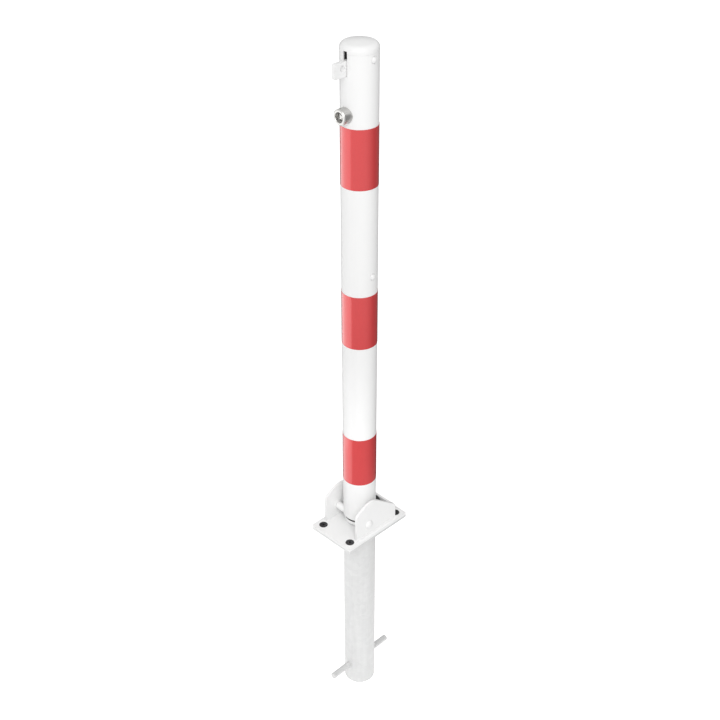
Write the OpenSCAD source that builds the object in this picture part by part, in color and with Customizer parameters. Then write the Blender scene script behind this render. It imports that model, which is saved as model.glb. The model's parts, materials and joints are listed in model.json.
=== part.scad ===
// Fold-down bollard: a steel post that is unlocked with a key, freed by lifting a tab,
// and folded down towards the tab's side about a pin between two cheeks.
// Millimetres. +Z is up and +X runs along the hinge pin. The origin is on the post's axis
// at ground level, which is the underside of the flange on the concreted ground tube.
// The lock, the slot and the lifting tab face -Y, the way the post folds.

/* [Post] */
// Outside diameter of the post tube
post_d = 60.3; // [56:0.1:66]
// Wall thickness of the post tube
post_wall = 2.5; // [2:0.1:3]
// Length of the post tube
post_len = 879.5; // [860:0.5:1100]
// Height of the post tube's lower end above the hinge plate
post_lift = 18.5; // [17:0.5:19.5]

/* [Reflective bands] */
// Height of one band
band_h = 100; // [60:1:110]
// Thickness of the band's sheeting
band_t = 0.3; // [0.2:0.05:0.6]
// Thickness of the adhesive between the sheeting and the post
band_glue = 0.08; // [0.06:0.02:0.2]
// Height of the lowest band's lower edge above ground
band_first_z = 113; // [105:1:140]
// Distance of the highest band's upper edge below the post's upper end
band_last_down = 114; // [110:1:150]

/* [Cap] */
// Height of the cap's straight side
cap_side = 4; // [2.5:0.5:6]
// Distance by which the cap stands over the post's side
cap_lip = 0.2; // [0.1:0.1:1]
// Radius of the cap's rounded edge
cap_edge_r = 9; // [5:0.5:12]
// Rise of the crown above the rounded edge
cap_crown = 2; // [1:0.5:6]
// Length of the skirt inside the post
cap_skirt_len = 26; // [24:1:40]
// Wall thickness of the skirt
cap_skirt_wall = 6; // [4:0.5:8]
// Height to which the slot runs on into the cap
cap_notch = 4; // [2:0.5:7]

/* [Base plates] */
// Size of both plates along the hinge pin
plate_x = 100; // [98:1:120]
// Size of both plates across the hinge pin
plate_y = 150; // [146:1:180]
// Radius of the plates' corners
plate_r = 2; // [1:0.5:10]
// Thickness of the flange on the ground tube
flange_t = 5; // [4:0.5:6]
// Thickness of the hinge plate
plate_t = 5; // [4.5:0.5:8]
// Distance between the plate screws along the hinge pin
screw_pitch_x = 70; // [68:1:76]
// Distance between the plate screws across the hinge pin
screw_pitch_y = 120; // [117:1:126]
// Diameter of the drain hole in the flange
drain_d = 30; // [16:1:40]

/* [Plate screws] */
// Thread diameter of the plate screws
screw_d = 8; // [6:0.5:8]
// Head diameter of the countersunk plate screws
screw_head_d = 16; // [14.5:0.5:16]
// Length of the plate screws, head included
screw_len = 16; // [13:0.5:16]
// Width across flats of the socket in the screw heads
screw_socket = 5; // [4:0.5:6]
// Width across flats of the nuts welded below the flange
weld_nut_flats = 13; // [12:0.5:14]
// Height of the nuts welded below the flange
weld_nut_h = 6.5; // [6:0.5:8]

/* [Cheeks] */
// Clear distance between the two cheeks
cheek_gap = 75.4; // [72:0.1:78]
// Thickness of the cheeks
cheek_t = 5; // [4:0.5:6]
// Distance of the cheeks' front edge from the post's axis
cheek_front = 49.6; // [45:0.1:51]
// Distance of the cheeks' rear edge from the post's axis
cheek_rear = 52; // [50:1:53]
// Height of the cheeks' front corner above the hinge plate
cheek_front_h = 56.4; // [50:0.2:62]
// Height of the cheeks' peak above the hinge plate
cheek_peak_h = 76.6; // [72:0.2:90]
// Distance of the peak in front of the post's axis
cheek_peak_y = 9; // [2:0.5:14]
// Height of the cheeks' rear corner above the hinge plate
cheek_rear_h = 29.2; // [28:0.2:40]
// Radius of the cheeks' peak
cheek_peak_r = 34; // [10:1:36]
// Radius of the cheeks' front corner
cheek_front_r = 14; // [6:0.5:16]
// Radius of the cheeks' rear corner
cheek_rear_r = 2; // [1:0.5:6]
// Thickness of the web that joins the cheeks at the rear
web_t = 5; // [4:0.5:6]

/* [Hinge] */
// Diameter of the hinge pin
pin_d = 10; // [8:0.5:10.5]
// Distance of the hinge pin in front of the post's axis
pin_y = 18; // [17.5:0.1:18.5]
// Height of the hinge pin above the hinge plate
pin_h = 22; // [21.5:0.1:22.5]
// Outside diameter of the sleeve around the hinge pin
sleeve_d = 14; // [13.5:0.1:14.5]
// Diameter of the pin's domed head
pin_head_d = 17.5; // [15:0.5:20]
// Height of the pin's domed head
pin_head_h = 5.5; // [4:0.5:7]
// Width across flats of the cap nut on the pin
pin_nut_flats = 17; // [16:0.5:19]
// Height of the cap nut's hexagon
pin_nut_h = 8; // [6:0.5:9]

/* [Foot] */
// Gap between the foot and the hinge plate
foot_gap = 3; // [2.6:0.1:4]
// Width of the chamfer around the foot's lower edge
foot_chamfer = 3; // [2:0.5:4]
// Length of the foot inside the post
foot_grip = 44; // [30:1:60]
// Diameter of the foot's neck below the post
neck_d = 42; // [38:0.5:48]
// Height of the foot's neck below the post
neck_h = 4.5; // [3.5:0.1:5]

/* [Rear stop] */
// Diameter of the rubber stop
stop_d = 18; // [14:0.5:19]
// Height of the rubber stop's axis above the hinge plate
stop_h = 18.5; // [17:0.5:18.5]
// Gap between the rubber stop and the post
stop_gap = 0.6; // [0.6:0.05:0.9]
// Thread diameter of the stop's stud
stud_d = 6; // [5:0.5:8]
// Width across flats of the nut on the stop's stud
stud_nut_flats = 10; // [9:0.5:13]
// Height of the nut on the stop's stud
stud_nut_h = 5; // [4:0.5:6]
// Length by which the stud stands out of its nut
stud_over = 1.5; // [1:0.5:4]

/* [Lifting rod] */
// Diameter of the lifting rod
rod_d = 12; // [11:0.5:13]
// Depth to which the rod's tip enters the hinge plate
tip_depth = 4; // [2:0.5:4]
// Width of the chamfer around the rod's tip
tip_chamfer = 1; // [0.5:0.5:2]
// Width of the slot in the post
slot_w = 8; // [7.4:0.1:10]
// Thickness of the lifting tab
tab_t = 6; // [5:0.5:6.5]
// Height of the lifting tab
tab_h = 24; // [22:0.5:24]
// Distance that the tab stands out of the post
tab_out = 24.5; // [22:0.5:30]
// Radius of the tab's outer corners
tab_r = 3; // [2:0.5:8]
// Diameter of the padlock hole in the tab
padlock_hole_d = 9; // [7:0.5:10]
// Distance of the padlock hole from the tab's outer edge
padlock_in = 16; // [11:0.5:16]
// Height of the padlock hole above the tab's lower edge
padlock_up = 14; // [10:0.5:16]
// Height over which the rod's fork holds the tab
fork_h = 12; // [8:1:18]

/* [Rod guide] */
// Height of the rod guide's middle above the middle band
guide_up = 34.5; // [20:0.5:60]
// Thickness of the rod guide
guide_t = 16; // [12:1:30]

/* [Guide and cap screws] */
// Distance of the cap screw below the post's upper end
cap_screw_down = 9; // [8:0.5:14]
// Thread diameter of the two screws
side_screw_d = 6; // [5:0.5:7]
// Head diameter of the two screws
side_head_d = 11; // [10:0.5:16]
// Height of the domed heads
side_head_h = 4.5; // [3:0.5:5.5]
// Depth to which the guide screw enters the guide
guide_screw_in = 10; // [8:0.5:12]
// Depth of the flat seat cut into the post below a head
seat_depth = 0.6; // [0.5:0.1:1]

/* [Lock] */
// Distance of the lock below the post's upper end
lock_down = 94; // [92:0.5:98]
// Outside diameter of the lock barrel
lock_d = 25.5; // [22:0.5:27]
// Distance that the barrel stands out of the post
lock_out = 14; // [11:0.5:15]
// Distance of the barrel's rear face from the post's axis
lock_in = 18; // [17.8:0.1:18.2]
// Chamfer of the barrel's front edge
lock_chamfer = 1.5; // [0.5:0.1:2.5]
// Diameter of the key recess
recess_d = 16; // [15:0.5:17]
// Depth of the key recess
recess_depth = 10; // [9:0.5:12]
// Diameter of the spindle
spindle_d = 10; // [8:0.5:11]
// Diameter of the spindle's collar
collar_d = 14; // [12:0.5:14.5]
// Height of the spindle's collar
collar_h = 2; // [1:0.5:3]
// Corner circle diameter of the spindle's three-sided head
key_d = 10; // [8:0.5:11]
// Height of the spindle's three-sided head
key_h = 3.5; // [2.5:0.5:4]
// Thickness of the locking cam
cam_t = 3; // [2:0.5:3.5]
// Width of the cam's arm
cam_w = 5; // [4:0.5:6]
// Reach of the cam's arm from the spindle's axis
cam_reach = 15; // [13:0.5:16]
// Diameter of the cam's hub
cam_hub_d = 14; // [12:0.5:14.5]
// Diameter of the spindle's thread that carries the cam
cam_seat_d = 7; // [6:0.5:7]
// Width across flats of the nut that holds the cam
cam_nut_flats = 10; // [9:0.5:11]
// Height of the nut that holds the cam
cam_nut_h = 3.2; // [2.5:0.1:4]
// Thickness of the catch on the rod
catch_t = 3; // [2:0.5:4]

/* [Ground anchor] */
// Length of the ground tube below the flange
ground_len = 400; // [300:5:600]
// Outside diameter of the ground tube
ground_d = 60.3; // [50:0.1:76.1]
// Wall thickness of the ground tube
ground_wall = 2.9; // [2:0.1:4]
// Diameter of the anchor bar through the ground tube
bar_d = 12; // [8:1:16]
// Length of the anchor bar
bar_len = 150; // [100:5:200]
// Height of the anchor bar above the ground tube's lower end
bar_up = 43; // [25:1:80]

/* [Clearances] */
// Radial clearance of turning and threaded fits
turn_gap = 0.05; // [0.02:0.01:0.1]
// Radial clearance of pieces that are pressed or welded into a bore
seat_gap = 0.1; // [0.05:0.01:0.2]
// Clearance between pieces that slide or lie on each other
slide_gap = 0.3; // [0.2:0.05:0.4]
// Radial clearance of the rod's tip in the hinge plate
tip_gap = 0.5; // [0.4:0.05:0.8]
// Radial clearance of the plate screws in the plates
hole_gap = 0.5; // [0.3:0.05:0.8]

/* [Hidden] */
$fn = 64;
// A little more than nothing, so that cuts pass their faces
past = 1;
ground_z = flange_t + plate_t;
post_r = post_d / 2;
bore_r = post_r - post_wall;
post_z0 = ground_z + post_lift;
post_z1 = post_z0 + post_len;
band_last_z = post_z1 - band_last_down - band_h;
band_pitch = (band_last_z - band_first_z) / 2;
guide_z = band_first_z + band_pitch + band_h + guide_up;
cap_screw_z = post_z1 - cap_screw_down;
lock_z = post_z1 - lock_down;
foot_z0 = ground_z + foot_gap;
foot_r = bore_r - seat_gap;
neck_z0 = post_z0 - neck_h;
pin_z = ground_z + pin_h;
cheek_x0 = cheek_gap / 2;
cheek_x1 = cheek_x0 + cheek_t;
web_y0 = cheek_rear - web_t;
stop_z = ground_z + stop_h;
stop_y0 = post_r + stop_gap;
// Travel of the rod, in which its catch passes the cam's arm
rod_travel = cam_w + catch_t + 3 * slide_gap;
slot_z0 = post_z1 - tab_h - rod_travel - 3 * slide_gap;
tab_z0 = slot_z0 + slide_gap;
tab_y0 = -(post_r + tab_out);
lock_y0 = -(post_r + lock_out);
recess_y = lock_y0 + recess_depth;
lock_y1 = -lock_in;
cam_y0 = lock_y1 + slide_gap;
cam_y1 = cam_y0 + cam_t;
collar_y = recess_y - turn_gap;
catch_z1 = lock_z - cam_w / 2 - slide_gap;
catch_x0 = cam_hub_d / 2 + 2 * slide_gap;
catch_r = -cam_y1 - cam_nut_h - 4 * slide_gap;

white_paint = [0.93, 0.93, 0.92];
zinc_grey = [0.80, 0.81, 0.81];
signal_red = [0.75, 0.12, 0.12];
bright_steel = [0.72, 0.73, 0.74];
black_oxide = [0.10, 0.10, 0.11];
black_rubber = [0.06, 0.06, 0.06];

// Direction of a vector
function unit(v) = v / norm(v);
// Points of the arc that rounds corner b between its neighbours a and c
function corner_arc(a, b, c, r, steps) =
    let (
        to_a = unit(a - b),
        to_c = unit(c - b),
        half = acos(to_a * to_c) / 2,
        centre = b + unit(to_a + to_c) * r / sin(half),
        from = b + to_a * r / tan(half) - centre,
        to = b + to_c * r / tan(half) - centre,
        start = atan2(from[1], from[0]),
        sweep = (atan2(to[1], to[0]) - start + 540) % 360 - 180
    )
    [for (i = [0:steps]) centre + r * [cos(start + sweep * i / steps), sin(start + sweep * i / steps)]];
// Outline through corners given as [x, y, radius], where a radius of 0 is a sharp corner
function rounded(corners, steps = 8) =
    let (n = len(corners))
    [for (i = [0:n - 1])
        let (
            a = corners[(i + n - 1) % n],
            b = corners[i],
            c = corners[(i + 1) % n]
        )
        each b[2] == 0
            ? [[b[0], b[1]]]
            : corner_arc([a[0], a[1]], [b[0], b[1]], [c[0], c[1]], b[2], steps)];

// Cylinder along X from x0 to x1
module rod_x(r, x0, x1, y = 0, z = 0) {
    translate([x0, y, z]) rotate([0, 90, 0]) cylinder(r = r, h = x1 - x0);
}

// Cylinder along Y from y0 to y1
module rod_y(r, y0, y1, x = 0, z = 0) {
    translate([x, y1, z]) rotate([90, 0, 0]) cylinder(r = r, h = y1 - y0);
}

// Hexagonal prism by its width across flats
module hexagon(flats, h) {
    cylinder(d = flats / cos(30), h = h, $fn = 6);
}

// Tube around Z from z0 to z1
module tube_z(outer_r, inner_r, z0, z1) {
    difference() {
        translate([0, 0, z0]) cylinder(r = outer_r, h = z1 - z0);
        translate([0, 0, z0 - past]) cylinder(r = inner_r, h = z1 - z0 + 2 * past);
    }
}

// Low dome on the plane Z = 0
module dome(d, h) {
    ball_r = (d * d / 4 + h * h) / (2 * h);
    intersection() {
        translate([0, 0, h - ball_r]) sphere(r = ball_r, $fn = 96);
        cylinder(d = d + 2 * past, h = h + past);
    }
}

// Plate with rounded corners from z0 up
module base_plate(z0, t) {
    x = plate_x / 2;
    y = plate_y / 2;
    translate([0, 0, z0]) linear_extrude(t) {
        translate([plate_r - x, -y]) square([plate_x - 2 * plate_r, plate_y]);
        translate([-x, plate_r - y]) square([plate_x, plate_y - 2 * plate_r]);
        for (sx = [-1, 1], sy = [-1, 1]) {
            translate([sx * (x - plate_r), sy * (y - plate_r)]) circle(plate_r);
        }
    }
}

// Places its children at the four plate screws
module at_screws() {
    for (sx = [-1, 1], sy = [-1, 1]) {
        translate([sx * screw_pitch_x / 2, sy * screw_pitch_y / 2, 0]) children();
    }
}

// Countersunk form below the plate's upper face, widened by gap
module screw_form(gap, len) {
    head_h = (screw_head_d - screw_d) / 2;
    translate([0, 0, ground_z - head_h]) {
        cylinder(d1 = screw_d + 2 * gap, d2 = screw_head_d + 2 * gap, h = head_h);
    }
    translate([0, 0, ground_z - len]) cylinder(d = screw_d + 2 * gap, h = len - head_h + turn_gap);
}

// Outline of a cheek in Y and Z, extruded along X
module cheek_form() {
    rotate([90, 0, 90]) linear_extrude(cheek_t) polygon(rounded([
        [-cheek_front, ground_z, 0],
        [cheek_rear, ground_z, 0],
        [cheek_rear, ground_z + cheek_rear_h, cheek_rear_r],
        [-cheek_peak_y, ground_z + cheek_peak_h, cheek_peak_r],
        [-cheek_front, ground_z + cheek_front_h, cheek_front_r]
    ]));
}

module cheek(x0) {
    color(white_paint) difference() {
        translate([x0, 0, 0]) cheek_form();
        rod_x(pin_d / 2 + turn_gap, x0 - past, x0 + cheek_t + past, -pin_y, pin_z);
    }
}

// Screw with a domed head on a flat seat on the post's +X side
module side_screw(z, depth) {
    seat_x = post_r - seat_depth;
    color(white_paint) union() {
        translate([seat_x, 0, z]) rotate([0, 90, 0]) dome(side_head_d, side_head_h);
        rod_x(side_screw_d / 2, bore_r - depth, seat_x + turn_gap, 0, z);
    }
}

// Hole and flat seat for a side screw in the post's wall
module side_screw_cut(z) {
    rod_x(side_screw_d / 2 + slide_gap, 0, post_r + past, 0, z);
    rod_x(side_head_d / 2 + slide_gap, post_r - seat_depth, post_r + past, 0, z);
}

module band(number) {
    z0 = band_first_z + number * band_pitch;
    inner_r = post_r + band_glue;
    color(signal_red) tube_z(inner_r + band_t, inner_r, z0, z0 + band_h);
}

module ground_tube() {
    color(zinc_grey) difference() {
        tube_z(ground_d / 2, ground_d / 2 - ground_wall, -ground_len, 0);
        rod_y(bar_d / 2 + seat_gap, -ground_d, ground_d, 0, bar_up - ground_len);
    }
}

module anchor_bar() {
    color(zinc_grey) rod_y(bar_d / 2, -bar_len / 2, bar_len / 2, 0, bar_up - ground_len);
}

module ground_flange() {
    color(zinc_grey) difference() {
        base_plate(0, flange_t);
        translate([0, 0, -past]) cylinder(d = drain_d, h = flange_t + 2 * past);
        at_screws() translate([0, 0, -past]) cylinder(r = screw_d / 2 + hole_gap, h = flange_t + 2 * past);
    }
}

module weld_nuts() {
    color(zinc_grey) at_screws() translate([0, 0, -weld_nut_h]) difference() {
        hexagon(weld_nut_flats, weld_nut_h);
        translate([0, 0, -past]) cylinder(r = screw_d / 2 + turn_gap, h = weld_nut_h + 2 * past);
    }
}

module hinge_plate() {
    color(white_paint) difference() {
        base_plate(flange_t, plate_t);
        at_screws() screw_form(hole_gap / 2, ground_z + past);
        translate([0, 0, flange_t - past]) cylinder(r = rod_d / 2 + tip_gap, h = plate_t + 2 * past);
    }
}

module cheek_left() {
    cheek(-cheek_x1);
}

module cheek_right() {
    cheek(cheek_x0);
}

module rear_web() {
    color(white_paint) difference() {
        translate([-cheek_x0, web_y0, ground_z]) cube([cheek_gap, web_t, cheek_rear_h]);
        rod_y(stud_d / 2 + slide_gap, web_y0 - past, cheek_rear + past, 0, stop_z);
    }
}

module flange_screws() {
    color(black_oxide) at_screws() difference() {
        screw_form(0, screw_len);
        translate([0, 0, ground_z - screw_socket / 2]) hexagon(screw_socket, screw_socket);
    }
}

module hinge_pin() {
    color(white_paint) translate([0, -pin_y, pin_z]) union() {
        translate([cheek_x1, 0, 0]) rotate([0, 90, 0]) dome(pin_head_d, pin_head_h);
        rod_x(pin_d / 2, -cheek_x1 - pin_nut_h, cheek_x1 + turn_gap);
    }
}

module hinge_nut() {
    color(white_paint) translate([-cheek_x1, -pin_y, pin_z]) rotate([0, -90, 0]) difference() {
        union() {
            hexagon(pin_nut_flats, pin_nut_h);
            translate([0, 0, pin_nut_h]) dome(pin_nut_flats, pin_head_h);
        }
        translate([0, 0, -past]) cylinder(r = pin_d / 2 + turn_gap, h = pin_nut_h + 2 * past);
    }
}

module rubber_stop() {
    stud_end = cheek_rear + stud_nut_h + stud_over;
    color(black_rubber) union() {
        rod_y(stop_d / 2, stop_y0, web_y0, 0, stop_z);
        rod_y(stud_d / 2, web_y0 - past, stud_end, 0, stop_z);
    }
}

module stop_nut() {
    color(zinc_grey) translate([0, cheek_rear, stop_z]) rotate([-90, 0, 0]) difference() {
        hexagon(stud_nut_flats, stud_nut_h);
        translate([0, 0, -past]) cylinder(r = stud_d / 2 + turn_gap, h = stud_nut_h + 2 * past);
    }
}

module post_tube() {
    color(white_paint) difference() {
        tube_z(post_r, bore_r, post_z0, post_z1);
        translate([-slot_w / 2, -post_r - past, slot_z0]) {
            cube([slot_w, post_r + past, post_z1 - slot_z0 + past]);
        }
        rod_y(lock_d / 2 + seat_gap, -post_r - past, lock_y1, 0, lock_z);
        rod_x(sleeve_d / 2 + seat_gap, -post_d, post_d, -pin_y, pin_z);
        translate([-post_d, -pin_y - sleeve_d / 2 - seat_gap, post_z0 - past]) {
            cube([2 * post_d, sleeve_d + 2 * seat_gap, pin_z - post_z0 + past]);
        }
        side_screw_cut(cap_screw_z);
        side_screw_cut(guide_z);
    }
}

module post_foot() {
    color(white_paint) difference() {
        rotate_extrude() polygon([
            [rod_d / 2 + slide_gap, foot_z0],
            [foot_r - foot_chamfer, foot_z0],
            [foot_r, foot_z0 + foot_chamfer],
            [foot_r, neck_z0],
            [neck_d / 2, neck_z0],
            [neck_d / 2, post_z0],
            [foot_r, post_z0],
            [foot_r, post_z0 + foot_grip],
            [rod_d / 2 + slide_gap, post_z0 + foot_grip]
        ]);
        rod_x(sleeve_d / 2 + turn_gap, -post_d, post_d, -pin_y, pin_z);
    }
}

module hinge_sleeve() {
    half = cheek_x0 - slide_gap;
    color(white_paint) difference() {
        rod_x(sleeve_d / 2, -half, half, -pin_y, pin_z);
        rod_x(pin_d / 2 + turn_gap, -half - past, half + past, -pin_y, pin_z);
    }
}

module band_lower() {
    band(0);
}

module band_middle() {
    band(1);
}

module band_upper() {
    band(2);
}

module end_cap() {
    edge_z = post_z1 + cap_side;
    rim_r = post_r + cap_lip;
    crown_r = rim_r - cap_edge_r;
    skirt_r = bore_r - seat_gap;
    top_z = edge_z + cap_edge_r;
    color(white_paint) difference() {
        rotate_extrude() polygon([
            [0, post_z1],
            [skirt_r - cap_skirt_wall, post_z1],
            [skirt_r - cap_skirt_wall, post_z1 - cap_skirt_len],
            [skirt_r, post_z1 - cap_skirt_len],
            [skirt_r, post_z1],
            [rim_r, post_z1],
            for (a = [0:7.5:82.5]) [crown_r + cap_edge_r * cos(a), edge_z + cap_edge_r * sin(a)],
            for (t = [1:-0.125:0]) [crown_r * t, top_z + cap_crown * (1 - t * t)]
        ]);
        translate([-slot_w / 2, -rim_r - past, post_z1 - cap_skirt_len - past]) {
            cube([slot_w, rim_r + past - post_r / 2, cap_skirt_len + cap_notch + past]);
        }
        rod_x(side_screw_d / 2 + turn_gap, 0, post_r, 0, cap_screw_z);
    }
}

module cap_screw() {
    side_screw(cap_screw_z, cap_skirt_wall - slide_gap);
}

module rod_guide() {
    z0 = guide_z - guide_t / 2;
    color(black_rubber) difference() {
        tube_z(bore_r - seat_gap, rod_d / 2 + slide_gap, z0, z0 + guide_t);
        rod_x(side_screw_d / 2 + turn_gap, bore_r - guide_screw_in - past, post_r, 0, guide_z);
    }
}

module guide_screw() {
    side_screw(guide_z, guide_screw_in);
}

module lock_barrel() {
    r = lock_d / 2;
    recess_r = recess_d / 2;
    shaft_r = spindle_d / 2 + turn_gap;
    color(bright_steel) translate([0, 0, lock_z]) rotate([-90, 0, 0]) rotate_extrude() polygon([
        [recess_r + lock_chamfer / 2, lock_y0],
        [r - lock_chamfer, lock_y0],
        [r, lock_y0 + lock_chamfer],
        [r, lock_y1],
        [shaft_r, lock_y1],
        [shaft_r, recess_y],
        [recess_r, recess_y],
        [recess_r, lock_y0 + lock_chamfer / 2]
    ]);
}

module lift_rod() {
    tip_z = ground_z - tip_depth;
    color(zinc_grey) difference() {
        rotate_extrude() polygon([
            [0, tip_z],
            [rod_d / 2 - tip_chamfer, tip_z],
            [rod_d / 2, tip_z + tip_chamfer],
            [rod_d / 2, tab_z0 + fork_h],
            [0, tab_z0 + fork_h]
        ]);
        translate([-tab_t / 2 - seat_gap / 2, -rod_d, tab_z0]) cube([tab_t + seat_gap, 2 * rod_d, fork_h + past]);
    }
}

module lift_tab() {
    color(white_paint) difference() {
        translate([-tab_t / 2, 0, 0]) rotate([90, 0, 90]) linear_extrude(tab_t) polygon(rounded([
            [tab_y0, tab_z0, tab_r],
            [rod_d / 2, tab_z0, 0],
            [rod_d / 2, tab_z0 + tab_h, 0],
            [tab_y0, tab_z0 + tab_h, tab_r]
        ]));
        rod_x(padlock_hole_d / 2, -tab_t, tab_t, tab_y0 + padlock_in, tab_z0 + padlock_up);
    }
}

module rod_catch() {
    z0 = catch_z1 - catch_t;
    arm_y0 = cam_y0 + slide_gap / 2;
    color(zinc_grey) difference() {
        translate([0, 0, z0]) union() {
            cylinder(r = catch_r, h = catch_t);
            translate([0, -catch_r + past, 0]) cube([cam_reach, 2 * catch_r - 3 * past, catch_t]);
            translate([catch_x0, arm_y0, 0]) cube([cam_reach - catch_x0, -arm_y0, catch_t]);
        }
        translate([0, 0, z0 - past]) cylinder(r = rod_d / 2 + turn_gap, h = catch_t + 2 * past);
    }
}

module key_spindle() {
    color(bright_steel) translate([0, 0, lock_z]) union() {
        rod_y(key_d / 2, collar_y - collar_h - key_h, collar_y - collar_h, $fn = 3);
        rod_y(collar_d / 2, collar_y - collar_h, collar_y);
        rod_y(spindle_d / 2, collar_y - turn_gap, cam_y0);
        rod_y(cam_seat_d / 2, cam_y0 - past, cam_y1 + cam_nut_h);
    }
}

module lock_cam() {
    color(zinc_grey) translate([0, 0, lock_z]) difference() {
        union() {
            rod_y(cam_hub_d / 2, cam_y0, cam_y1);
            translate([-cam_w / 2, cam_y0, 0]) cube([cam_w, cam_t, cam_reach]);
        }
        rod_y(cam_seat_d / 2 + turn_gap, cam_y0 - past, cam_y1 + past);
    }
}

module cam_nut() {
    color(zinc_grey) translate([0, cam_y1, lock_z]) rotate([-90, 0, 0]) difference() {
        hexagon(cam_nut_flats, cam_nut_h);
        translate([0, 0, -past]) cylinder(r = cam_seat_d / 2 + turn_gap, h = cam_nut_h + 2 * past);
    }
}

ground_tube();
anchor_bar();
ground_flange();
weld_nuts();
hinge_plate();
cheek_left();
cheek_right();
rear_web();
flange_screws();
hinge_pin();
hinge_nut();
rubber_stop();
stop_nut();
post_tube();
post_foot();
hinge_sleeve();
band_lower();
band_middle();
band_upper();
end_cap();
cap_screw();
rod_guide();
guide_screw();
lock_barrel();
lift_rod();
lift_tab();
rod_catch();
key_spindle();
lock_cam();
cam_nut();
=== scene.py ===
"""Looks of the fold-down bollard: finishes, weld beads, floor, light and camera.

Metres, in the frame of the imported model: +Z is up, +X runs along the hinge pin,
and the lock and the lifting tab face -Y. Ground level is Z = 0.
"""

import json
import math

import bmesh
import bpy
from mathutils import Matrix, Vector


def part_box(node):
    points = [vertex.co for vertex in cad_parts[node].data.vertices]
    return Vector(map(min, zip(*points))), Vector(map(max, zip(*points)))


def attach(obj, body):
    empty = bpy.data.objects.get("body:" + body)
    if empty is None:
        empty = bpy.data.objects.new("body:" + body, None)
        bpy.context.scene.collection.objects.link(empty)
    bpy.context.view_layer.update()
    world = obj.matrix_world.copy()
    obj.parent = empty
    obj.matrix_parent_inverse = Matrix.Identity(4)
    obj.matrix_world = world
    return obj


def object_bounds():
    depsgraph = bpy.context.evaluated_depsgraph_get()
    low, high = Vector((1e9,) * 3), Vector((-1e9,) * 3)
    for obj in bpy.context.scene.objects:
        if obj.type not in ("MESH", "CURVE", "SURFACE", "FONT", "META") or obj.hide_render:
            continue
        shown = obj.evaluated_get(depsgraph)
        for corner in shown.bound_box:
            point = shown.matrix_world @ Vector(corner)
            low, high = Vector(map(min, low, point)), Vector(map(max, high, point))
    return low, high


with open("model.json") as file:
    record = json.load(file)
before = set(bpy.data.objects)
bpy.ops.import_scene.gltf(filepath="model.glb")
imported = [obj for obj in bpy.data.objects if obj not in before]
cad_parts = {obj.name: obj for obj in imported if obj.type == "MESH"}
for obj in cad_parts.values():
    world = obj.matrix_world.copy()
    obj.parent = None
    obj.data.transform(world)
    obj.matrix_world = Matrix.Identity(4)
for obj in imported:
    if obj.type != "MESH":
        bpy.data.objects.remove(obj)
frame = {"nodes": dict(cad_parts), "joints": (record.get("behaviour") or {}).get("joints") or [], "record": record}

MM = 0.001
CAD_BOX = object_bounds()
nodes = frame["nodes"]
joint_at = {joint["name"]: Vector(joint.get("pos_m", (0, 0, 0))) for joint in frame["joints"]}


# Shader maths

class Wire:
    """A shader output that can be used in sums and comparisons, as plain numbers are."""

    def __init__(self, shader, socket):
        self.shader = shader
        self.socket = socket

    def work_out(self, operation, *values):
        return self.shader.node("Math", {"operation": operation}, dict(enumerate(values)))

    def __add__(self, other):
        return self.work_out("ADD", self, other)

    def __sub__(self, other):
        return self.work_out("SUBTRACT", self, other)

    def __rsub__(self, other):
        return self.work_out("SUBTRACT", other, self)

    def __mul__(self, other):
        return self.work_out("MULTIPLY", self, other)

    def __truediv__(self, other):
        return self.work_out("DIVIDE", self, other)

    def __lt__(self, other):
        return self.work_out("LESS_THAN", self, other)

    def __gt__(self, other):
        return self.work_out("GREATER_THAN", self, other)

    def root(self):
        return self.work_out("SQRT", self)

    __radd__ = __add__
    __rmul__ = __mul__


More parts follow.
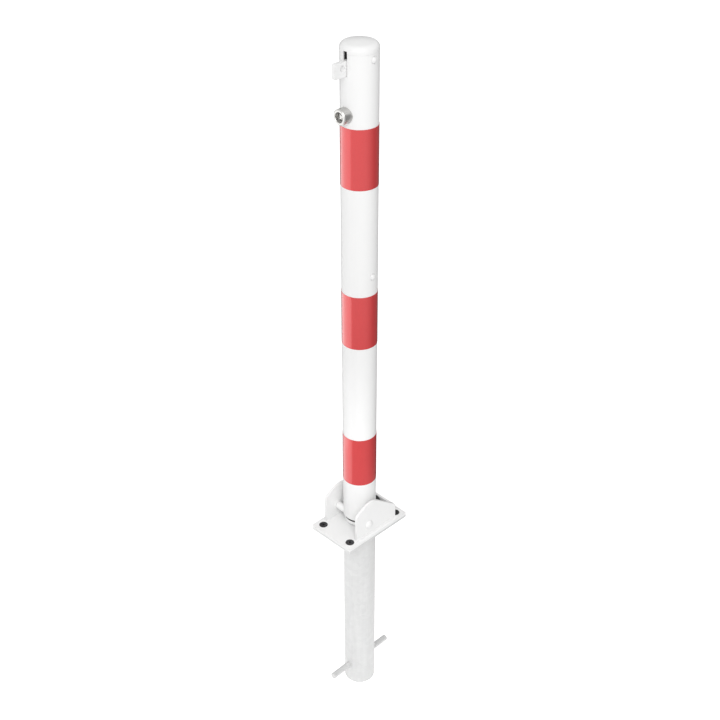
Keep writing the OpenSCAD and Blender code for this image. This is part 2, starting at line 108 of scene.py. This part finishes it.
class Finish:
    """One material and the methods that wire it up."""

    def __init__(self, name, tree=None):
        self.material = None if tree else bpy.data.materials.new(name)
        if self.material:
            self.material.use_nodes = True
        self.tree = tree or self.material.node_tree
        self.tree.nodes.clear()
        self.place = self.node("TexCoord", output="Object")

    def node(self, kind, settings=None, inputs=None, output=0):
        """Adds a node, sets it up, and gives one of its outputs."""
        made = self.tree.nodes.new("ShaderNode" + kind)
        for key, value in (settings or {}).items():
            if key == "stops":
                self.set_stops(made.color_ramp, value)
            else:
                setattr(made, key, value)
        for key, value in (inputs or {}).items():
            if isinstance(value, Wire):
                self.tree.links.new(value.socket, made.inputs[key])
            else:
                made.inputs[key].default_value = value
        return Wire(self, made.outputs[output])

    def set_stops(self, ramp, stops):
        for element, (position, shade) in zip(ramp.elements, stops):
            element.position = position
            element.color = (shade, shade, shade, 1)

    def ramp(self, value, low, high):
        """0 where value is under low, 1 where it is over high, and a straight rise between."""
        return self.node("ValToRGB", {"stops": ((low, 0.0), (high, 1.0))}, {0: value})

    def remap(self, value, span, ends=(0.0, 1.0)):
        """Takes value from one span to another, and holds it at the ends."""
        return self.node("MapRange", {}, {0: value, 1: span[0], 2: span[1], 3: ends[0], 4: ends[1]})

    def noise(self, size, detail=2, roughness=0.5, place=None):
        """Cloudy pattern whose waves are about size metres across, around 0.5."""
        values = {
            "Vector": place or self.place,
            "Scale": 1 / size,
            "Detail": detail,
            "Roughness": roughness,
        }
        return self.node("TexNoise", {}, values)

    def cells(self, size, output=0):
        """Cells about size metres across: output 0 is the distance to a middle, output 1 a colour each."""
        return self.node("TexVoronoi", {}, {"Vector": self.place, "Scale": 1 / size}, output)

    def stretched(self, scale):
        return self.node("Mapping", {}, {"Vector": self.place, "Scale": scale})

    def axes(self, place=None):
        """The X, Y and Z of a point on the piece, or the three parts of another vector."""
        split = self.node("SeparateXYZ", {}, {0: place or self.place})
        return [Wire(self, output) for output in split.socket.node.outputs]

    def mix(self, factor, first, second):
        """Mixes two colours."""
        values = {0: factor}
        for key, value in ((6, first), (7, second)):
            values[key] = (*value, 1) if isinstance(value, tuple) else value
        return self.node("Mix", {"data_type": "RGBA"}, values, 2)

    def band(self, value, low, high, soft):
        """1 where value lies between low and high, with soft edges."""
        rise = self.remap(value, (low - soft, low + soft))
        fall = self.remap(value, (high - soft, high + soft))
        return rise * (1 - fall)

    def edge_normal(self, radius):
        """Normal of edges that are rounded by radius metres."""
        return self.node("Bevel", {"samples": 6}, {"Radius": radius})

    def bump(self, height, depth, normal=None):
        """Normal of a surface whose height varies from 0 to depth metres."""
        values = {"Height": height, "Distance": depth, "Strength": 1.0}
        if normal:
            values["Normal"] = normal
        return self.node("Bump", {}, values)

    def finish(self, **values):
        """Ends the material in one shader, with its sockets named in words."""
        named = {}
        for words, value in values.items():
            socket = words.replace("_", " ").title().replace("Ior", "IOR")
            is_colour = isinstance(value, tuple) and len(value) == 3
            named[socket] = (*value, 1) if is_colour else value
        shader = self.node("BsdfPrincipled", {}, named)
        out = self.tree.nodes.new("ShaderNodeOutputMaterial")
        self.tree.links.new(shader.socket, out.inputs[0])
        return self.material


# Finishes

WHITE = (0.866, 0.866, 0.863)
# The bracket and welds use the same coat as the post, painted lighter: painted light on the low, shaded bracket.
LIT_BRACKET_WHITE = (0.905, 0.905, 0.902)
# The same coat on the side screws, painted darker: painted shade that damps their highlight.
SHADED_SCREW_WHITE = (0.82, 0.82, 0.817)
CLOUD_SHADE = 0.975
# Near-black for bare steel inside the post, dark as painted shade of its hollow and of the gap under its end.
DARK_STEEL_AND_SHADE = (0.035, 0.033, 0.032)
GREY_ZINC = (0.68, 0.682, 0.68)
PALE_ZINC = (0.775, 0.777, 0.773)
RED = (0.70, 0.045, 0.048)
RED_DEEP = (0.63, 0.037, 0.040)
SEAM_RED = (0.25, 0.02, 0.02)
NICKEL = (0.64, 0.635, 0.62)
NICKEL_DULL = (0.52, 0.515, 0.50)
BRIGHT_ZINC = (0.70, 0.71, 0.72)
BRIGHT_ZINC_DULL = (0.60, 0.605, 0.60)
OXIDE_BLACK = (0.045, 0.045, 0.048)
OXIDE_RUBBED = (0.12, 0.115, 0.11)
MOULDED_BLACK = (0.022, 0.022, 0.023)
DUSTY_BLACK = (0.05, 0.049, 0.047)

COAT_EDGE = 0.9 * MM
ZINC_EDGE = 0.6 * MM
STEEL_EDGE = 0.3 * MM
LOCK_EDGE = 0.25 * MM
MOULDED_EDGE = 0.4 * MM

SEAM = (-5 * MM, -4.4 * MM)
SEAM_SOFTNESS = 0.15 * MM
RINGS_PER_METRE_ACROSS = 2600
RINGS_PER_METRE_ALONG = 900
RUBBER_GRAIN = 0.35 * MM
PLASTIC_GRAIN = 0.5 * MM

# The foot is near-black from this far below the post's end upwards: bare steel and painted shade of the gap under
# the post.
BARE_AND_SHADED_BELOW_POST = 6 * MM
BARE_AND_SHADED_BESIDE_FOOT = 0.5 * MM
SLEEVE_PAINT_INSIDE = 1 * MM
CAP_NOTCH = 4 * MM
ABOVE_NOTCH = 0.1 * MM


def powder_coat(name, white=WHITE, bare_and_shaded=None, roughness=0.25):
    """White powder coat with a faint orange peel, glossy unless it is given a roughness.

    Within the zone given as a radius around the post's axis and two heights, the coat gives way
    to near-black: partly bare steel, partly painted shade of the post's hollow and the gap under its end.
    """
    coat = Finish(name)
    cloud = coat.noise(110 * MM, detail=3)
    peel = coat.noise(1.9 * MM, detail=1)
    grain = coat.noise(0.45 * MM)
    nib = coat.ramp(coat.noise(7 * MM, detail=1, roughness=0.3), 0.70, 0.76)
    clouded = tuple(CLOUD_SHADE * part for part in white)
    colour = coat.mix(coat.ramp(cloud, 0.35, 0.68), white, clouded)
    height = peel * 0.8 + grain * 0.2 + nib * 0.25
    normal = coat.bump(height, 0.035 * MM, coat.edge_normal(COAT_EDGE))
    roughness = roughness + cloud * 0.12 + grain * 0.05
    # Inside the zone the coat turns near-black: bare steel, made dark as painted shade of the hollow post and the
    # gap under its end.
    if bare_and_shaded:
        radius, low, high = bare_and_shaded
        x, y, z = coat.axes()
        within = x * x + y * y < radius * radius
        painted = 1 - within * (z > low) * (z < high)
        colour = coat.mix(painted, DARK_STEEL_AND_SHADE, colour)
        roughness = roughness * painted + (1 - painted) * 0.6
    return coat.finish(base_color=colour, roughness=roughness, normal=normal, specular_ior_level=0.5)


def galvanised(name):
    """Dull hot-dip zinc with spangles, runs along the tube and a few darker patches."""
    zinc = Finish(name)
    spangle = zinc.axes(zinc.cells(9 * MM, output=1))[0]
    fine = zinc.axes(zinc.cells(3.2 * MM, output=1))[1]
    runs = zinc.noise(6 * MM, detail=3, roughness=0.6, place=zinc.stretched((1, 1, 0.06)))
    patch = zinc.noise(50 * MM, detail=4, roughness=0.6)
    grain = zinc.noise(0.7 * MM)
    tone = spangle * 0.16 + fine * 0.10 + runs * 0.40 + patch * 0.34
    colour = zinc.mix(zinc.ramp(tone, 0.28, 0.72), GREY_ZINC, PALE_ZINC)
    height = grain * 0.3 + runs * 0.7 + spangle * 0.05
    normal = zinc.bump(height, 0.08 * MM, zinc.edge_normal(ZINC_EDGE))
    roughness = 0.44 + fine * 0.10 + patch * 0.12
    return zinc.finish(base_color=colour, metallic=0.35, roughness=roughness, normal=normal)


def red_sheeting(name):
    """Red reflective film: glossy face over fine glass beads, with its overlap at the rear."""
    film = Finish(name)
    x, y, _ = film.axes()
    beads = film.cells(0.55 * MM)
    cloud = film.noise(70 * MM)
    seam = film.band(x, *SEAM, SEAM_SOFTNESS) * (y > 0.0)
    tone = film.ramp(cloud * 0.6 + beads * 0.5, 0.30, 0.75)
    colour = film.mix(seam * 0.7, film.mix(tone, RED, RED_DEEP), SEAM_RED)
    normal = film.bump(beads * 0.25 + seam + cloud * 0.6, 0.03 * MM)
    return film.finish(base_color=colour, metallic=0.28, roughness=0.34 + cloud * 0.08, normal=normal,
                       coat_weight=1.0, coat_roughness=0.05)


def turned_nickel(name, centre):
    """Nickel-plated lock, with turning rings around its axis through centre and duller smears."""
    metal = Finish(name)
    x, y, z = metal.axes()
    from_x = x - centre.x
    from_z = z - centre.z
    radius = (from_x * from_x + from_z * from_z).root()
    across = radius * RINGS_PER_METRE_ACROSS
    along = y * RINGS_PER_METRE_ALONG
    turning = metal.node("CombineXYZ", {}, {0: across, 1: along, 2: 0.0})
    rings = metal.node("TexNoise", {}, {"Vector": turning, "Scale": 1.0, "Detail": 2.0})
    smear = metal.noise(3 * MM, detail=3)
    colour = metal.mix(smear, NICKEL, NICKEL_DULL)
    normal = metal.bump(rings, 0.004 * MM, metal.edge_normal(LOCK_EDGE))
    return metal.finish(base_color=colour, metallic=1.0, roughness=0.28 + smear * 0.10, normal=normal)


def plated_steel(name):
    """Bright zinc plate on rolled steel, with faint upright lines."""
    steel = Finish(name)
    lines = steel.noise(0.5 * MM, detail=3, roughness=0.6, place=steel.stretched((1, 1, 0.03)))
    cloud = steel.noise(8 * MM, detail=3)
    colour = steel.mix(cloud, BRIGHT_ZINC, BRIGHT_ZINC_DULL)
    normal = steel.bump(lines, 0.03 * MM, steel.edge_normal(STEEL_EDGE))
    return steel.finish(base_color=colour, metallic=0.9, roughness=0.26 + cloud * 0.16, normal=normal)


def black_oxide(name):
    """Black oxide on the screws, with a fine grain and brown-grey rubbed patches."""
    black = Finish(name)
    rubbed = black.ramp(black.noise(1.6 * MM, detail=4, roughness=0.65), 0.52, 0.72)
    grain = black.noise(0.25 * MM)
    colour = black.mix(rubbed, OXIDE_BLACK, OXIDE_RUBBED)
    normal = black.bump(grain, 0.02 * MM, black.edge_normal(STEEL_EDGE))
    roughness = 0.36 + grain * 0.12 - rubbed * 0.08
    return black.finish(base_color=colour, metallic=0.55, roughness=roughness, normal=normal)


def moulded_black(name, grain_size, roughness):
    """Matt black rubber or plastic, with a fine grain and a little dust."""
    black = Finish(name)
    grain = black.noise(grain_size, detail=3)
    dust = black.noise(12 * MM, detail=3)
    colour = black.mix(black.ramp(dust, 0.45, 0.8), MOULDED_BLACK, DUSTY_BLACK)
    normal = black.bump(grain, 0.06 * MM, black.edge_normal(MOULDED_EDGE))
    return black.finish(base_color=colour, roughness=roughness + dust * 0.1, normal=normal)


def paint(names, material):
    for name in names:
        nodes[name].data.materials.clear()
        nodes[name].data.materials.append(material)


def dress_cad_nodes():
    """Gives each node the record's finish, then the white pieces on the post and hinge their own coats."""
    finishes = {
        # The bracket's white is lighter than the post's: painted light on the low bracket.
        "white_coat": powder_coat("white_coat", LIT_BRACKET_WHITE),
        "galvanised": galvanised("galvanised"),
        "zinc_plate": plated_steel("zinc_plate"),
        "black_oxide": black_oxide("black_oxide"),
        "black_rubber": moulded_black("black_rubber", RUBBER_GRAIN, 0.62),
        "black_plastic": moulded_black("black_plastic", PLASTIC_GRAIN, 0.48),
        "red_sheeting": red_sheeting("red_sheeting"),
        "nickel": turned_nickel("nickel", joint_at["spindle_turn"]),
    }
    for part in frame["record"]["subparts"]:
        paint([part["node"]], finishes[part["material_slot"]])
    tube_low, tube_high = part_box("post_tube")
    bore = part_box("post_foot")[1].x + BARE_AND_SHADED_BESIDE_FOOT
    notch_top = tube_high.z + CAP_NOTCH + ABOVE_NOTCH
    paint_top = tube_low.z - BARE_AND_SHADED_BELOW_POST
    whole_foot = 2 * bore
    # Near-black zones, bare steel and painted shade: the post's hollow, the sleeve inside the post, and the foot
    # from just below the post's end upwards.
    inside_post = (bore, 0, notch_top)
    inside_sleeve_paint = (bore - SLEEVE_PAINT_INSIDE, 0, notch_top)
    above_foot_paint = (whole_foot, paint_top, notch_top)
    paint(["post_tube", "end_cap"], powder_coat("white_coat_over_bore", WHITE, inside_post))
    paint(["hinge_sleeve"], powder_coat("white_coat_outside_post", WHITE, inside_sleeve_paint))
    paint(["post_foot"], powder_coat("white_coat_below_neck", WHITE, above_foot_paint))
    # The hinge pin and nut take the post's white, darker than the bracket's: painted shade that damps their
    # highlight.
    paint(["lift_tab", "hinge_pin", "hinge_nut"], powder_coat("white_coat_on_post", WHITE))
    # The screws' white is darker still: painted shade that damps their highlight.
    paint(["cap_screw", "guide_screw"], powder_coat("white_coat_on_screws", SHADED_SCREW_WHITE, roughness=0.5))
    return finishes


# Weld beads

FOOT_BEAD_LEG = 2.0 * MM
WEB_BEAD_LEG = 2.2 * MM
BEAD_RADIUS_PER_LEG = 0.9
BEAD_SIDES = 5
BEAD_STEP = 0.7 * MM
BEAD_FEWEST_STEPS = 12
RIPPLE_PITCH = 2.1 * MM
RIPPLE = 0.07
SWELL_PER_RADIAN = 9 * MM
SWELL = 0.05
TAPER_LENGTH = 3 * MM
TAPER_START = 0.35
FOOT_BEAD_INSET = 4 * MM
WEB_BEAD_INSET = 3 * MM
DOUBLES_WITHIN = 0.01 * MM


def finish_piece(name, form, material, body):
    """Turns a bmesh into a smooth piece that rides on a body."""
    mesh = bpy.data.meshes.new(name)
    bmesh.ops.remove_doubles(form, verts=form.verts, dist=DOUBLES_WITHIN)
    bmesh.ops.recalc_face_normals(form, faces=form.faces)
    form.to_mesh(mesh)
    form.free()
    mesh.materials.append(material)
    mesh.shade_smooth()
    piece = bpy.data.objects.new(name, mesh)
    bpy.context.collection.objects.link(piece)
    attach(piece, body)
    return piece


def weld_bead(name, start, end, away, material, leg=FOOT_BEAD_LEG):
    """Fillet weld from start to end, in the corner between the directions in away, with ripples."""
    start = Vector(start)
    run = Vector(end) - start
    ahead = run.normalized()
    first, second = (Vector(side) for side in away)
    form = bmesh.new()
    corner = [form.verts.new(start)]
    arc = []
    for i in range(BEAD_SIDES + 1):
        turn = math.pi / 2 * i / BEAD_SIDES
        outwards = first * math.cos(turn) + second * math.sin(turn)
        arc.append(form.verts.new(start + outwards * leg * BEAD_RADIUS_PER_LEG))
    profile = form.faces.new(corner + arc)
    steps = max(BEAD_FEWEST_STEPS, round(run.length / BEAD_STEP))
    for _ in range(steps):
        made = bmesh.ops.extrude_face_region(form, geom=[profile])["geom"]
        verts = [item for item in made if isinstance(item, bmesh.types.BMVert)]
        bmesh.ops.translate(form, verts=verts, vec=run / steps)
        bmesh.ops.delete(form, geom=[profile], context="FACES_ONLY")
        profile = next(item for item in made if isinstance(item, bmesh.types.BMFace))
    for vert in form.verts:
        along = (vert.co - start).dot(ahead)
        foot = start + ahead * along
        ripple = RIPPLE * math.sin(along / RIPPLE_PITCH * math.tau)
        swell = SWELL * math.sin(along / SWELL_PER_RADIAN)
        from_end = min(along, run.length - along)
        taper = min(1.0, TAPER_START + from_end / TAPER_LENGTH)
        vert.co = foot + (vert.co - foot) * (1 + ripple + swell) * taper
    return finish_piece(name, form, material, "ground")


def weld_cheeks(material):
    """Beads along the outer feet of the cheeks, and in the corners between them and the rear web."""
    plate_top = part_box("hinge_plate")[1].z
    web_low, web_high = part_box("rear_web")
    up = (0, 0, 1)
    forwards = (0, -1, 0)
    for side, node in ((-1, "cheek_left"), (1, "cheek_right")):
        low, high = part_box(node)
        inner, outer = (low.x, high.x) if side > 0 else (high.x, low.x)
        weld_bead(f"weld_outer_{node}",
                  (outer, low.y + FOOT_BEAD_INSET, plate_top),
                  (outer, high.y - FOOT_BEAD_INSET, plate_top),
                  ((side, 0, 0), up), material)
        weld_bead(f"weld_rear_{node}",
                  (inner, web_low.y, plate_top + WEB_BEAD_INSET),
                  (inner, web_low.y, web_high.z - WEB_BEAD_INSET),
                  ((-side, 0, 0), forwards), material, WEB_BEAD_LEG)


# Stage

PHOTO_SIZE = 720
FOCAL_PIXELS = 1195.1
PIXELS_LEFT = 0.45
SENSOR_MM = 36
CLIP_END = 50
AZIMUTH = math.radians(45)
ELEVATION = math.radians(32.85)
DISTANCE = 2.0525
AIM = Vector((0, 0, 0.364))

FLOOR_RADIUS = 9
FLOOR_SIDES = 96
FLOOR_BELOW = 0.5 * MM
FLOOR_PALE = (0.92, 0.92, 0.92)
FLOOR_SHADE = (0.88, 0.88, 0.88)
FLOOR_GLOW = 0.62
WORLD_LIGHT = 0.67

CARD_INNER_RADIUS = 0.6
CARD_OUTER_RADIUS = 1.0
CARD_STEPS = 24
CARD_LOW = -0.395
CARD_HIGH = 1.2
CARD_FULL_HEIGHT = 0.12
CARD_LOW_SHARE = 0.5
CARD_FULL_FACING = 0.8
CARD_GLOW = 0.95
CARD_DIM = 0.15


def towards(azimuth, elevation):
    """Unit direction from the object, where azimuth 0 is the lock's side and 90 degrees is +X."""
    flat = math.cos(elevation)
    return Vector((math.sin(azimuth) * flat, -math.cos(azimuth) * flat, math.sin(elevation)))


def look_at(obj, place, target):
    obj.location = place
    obj.rotation_euler = (target - place).to_track_quat("-Z", "Y").to_euler()


def set_camera():
    data = bpy.data.cameras.new("camera")
    data.sensor_width = SENSOR_MM
    data.lens = FOCAL_PIXELS / PHOTO_SIZE * SENSOR_MM
    data.shift_x = PIXELS_LEFT / PHOTO_SIZE
    data.clip_end = CLIP_END
    camera = bpy.data.objects.new("camera", data)
    bpy.context.collection.objects.link(camera)
    look_at(camera, AIM + towards(AZIMUTH, ELEVATION) * DISTANCE, AIM)
    bpy.context.scene.camera = camera


def soft_box(name, azimuth, elevation, distance, size, power, height):
    """Soft box that shines from a direction, in degrees, on the post's axis at a height."""
    data = bpy.data.lights.new(name, "AREA")
    data.shape = "RECTANGLE"
    data.size, data.size_y = size
    data.energy = power
    lamp = bpy.data.objects.new(name, data)
    bpy.context.collection.objects.link(lamp)
    target = Vector((0, 0, height))
    look_at(lamp, target + towards(math.radians(azimuth), math.radians(elevation)) * distance, target)
    lamp.visible_camera = False
    return lamp


def curved_card(name, first, last):
    """Card from azimuth first to last, in degrees, that only reflections show.

    It lies just above the floor, stands up beyond the reach of the folded post,
    and is brightest towards the camera.
    """
    form = bmesh.new()
    outwards = towards(math.radians(first), 0)
    low = Vector((0, 0, CARD_LOW))
    high = Vector((0, 0, CARD_HIGH))
    corners = [outwards * CARD_INNER_RADIUS + low,
               outwards * CARD_OUTER_RADIUS + low,
               outwards * CARD_OUTER_RADIUS + high]
    verts = [form.verts.new(corner) for corner in corners]
    rails = [form.edges.new(pair) for pair in zip(verts, verts[1:])]
    bmesh.ops.spin(form, geom=verts + rails, cent=(0, 0, 0), axis=(0, 0, 1),
                   angle=math.radians(last - first), steps=CARD_STEPS)
    mesh = bpy.data.meshes.new(name)
    form.to_mesh(mesh)
    form.free()
    card = bpy.data.objects.new(name, mesh)
    bpy.context.collection.objects.link(card)
    paper = Finish(name)
    x, y, z = paper.axes()
    radius = (x * x + y * y).root()
    facing = (x * math.sin(AZIMUTH) - y * math.cos(AZIMUTH)) / radius
    share = paper.remap(z, (CARD_LOW, CARD_FULL_HEIGHT), (CARD_LOW_SHARE, 1.0))
    glow = share * paper.remap(facing, (0.0, CARD_FULL_FACING), (CARD_DIM, CARD_GLOW))
    mesh.materials.append(paper.finish(
        base_color=(0, 0, 0),
        roughness=1.0,
        specular_ior_level=0.0,
        emission_color=glow,
        emission_strength=1.0,
    ))
    card.visible_camera = False
    card.visible_diffuse = False
    card.visible_shadow = False


def seen_directly(finish):
    """1 for the rays by which the camera, metal and glass see a surface, 0 for its light on other things."""
    rays = finish.node("LightPath").socket.node.outputs
    camera, glossy, transmission = (Wire(finish, rays[name]) for name in
                                    ("Is Camera Ray", "Is Glossy Ray", "Is Transmission Ray"))
    return camera + glossy + transmission


def set_world(strength):
    """White to look at, and a soft even light of the given strength."""
    world = bpy.data.worlds.new("studio")
    bpy.context.scene.world = world
    world.use_nodes = True
    air = Finish("studio", world.node_tree)
    seen = seen_directly(air)
    light = air.node("Background", {}, {0: (1, 1, 1, 1), 1: strength + seen * (1 - strength)})
    out = air.tree.nodes.new("ShaderNodeOutputWorld")
    air.tree.links.new(light.socket, out.inputs[0])


def set_floor():
    """White floor under the ground tube, which shows as white where no shadow falls."""
    form = bmesh.new()
    bmesh.ops.create_circle(form, cap_ends=True, segments=FLOOR_SIDES, radius=FLOOR_RADIUS)
    bmesh.ops.translate(form, verts=form.verts, vec=(0, 0, CAD_BOX[0][2] - FLOOR_BELOW))
    mesh = bpy.data.meshes.new("floor")
    form.to_mesh(mesh)
    form.free()
    floor = bpy.data.objects.new("floor", mesh)
    bpy.context.collection.objects.link(floor)
    card = Finish("floor")
    speck = card.noise(0.4)
    mesh.materials.append(card.finish(
        base_color=card.mix(speck, FLOOR_PALE, FLOOR_SHADE),
        roughness=0.9,
        specular_ior_level=0.0,
        emission_color=(1, 1, 1),
        emission_strength=seen_directly(card) * FLOOR_GLOW,
    ))


def set_stage():
    set_world(WORLD_LIGHT)
    set_floor()
    soft_box("key", azimuth=46, elevation=38, distance=3.2, size=(1.8, 1.8), power=46, height=0.45)
    fill = soft_box("fill", azimuth=36, elevation=40, distance=0.28, size=(0.15, 0.15), power=0.09,
                    height=0.04)
    fill.visible_glossy = False
    panel = soft_box("left_panel", azimuth=-48, elevation=0, distance=0.8, size=(1.8, 1.5), power=3.4,
                     height=0.3)
    panel.visible_diffuse = False
    curved_card("card", first=-7, last=262)
    bpy.context.scene.view_settings.view_transform = "Standard"
    set_camera()


finishes = dress_cad_nodes()
weld_cheeks(finishes["white_coat"])
set_stage()
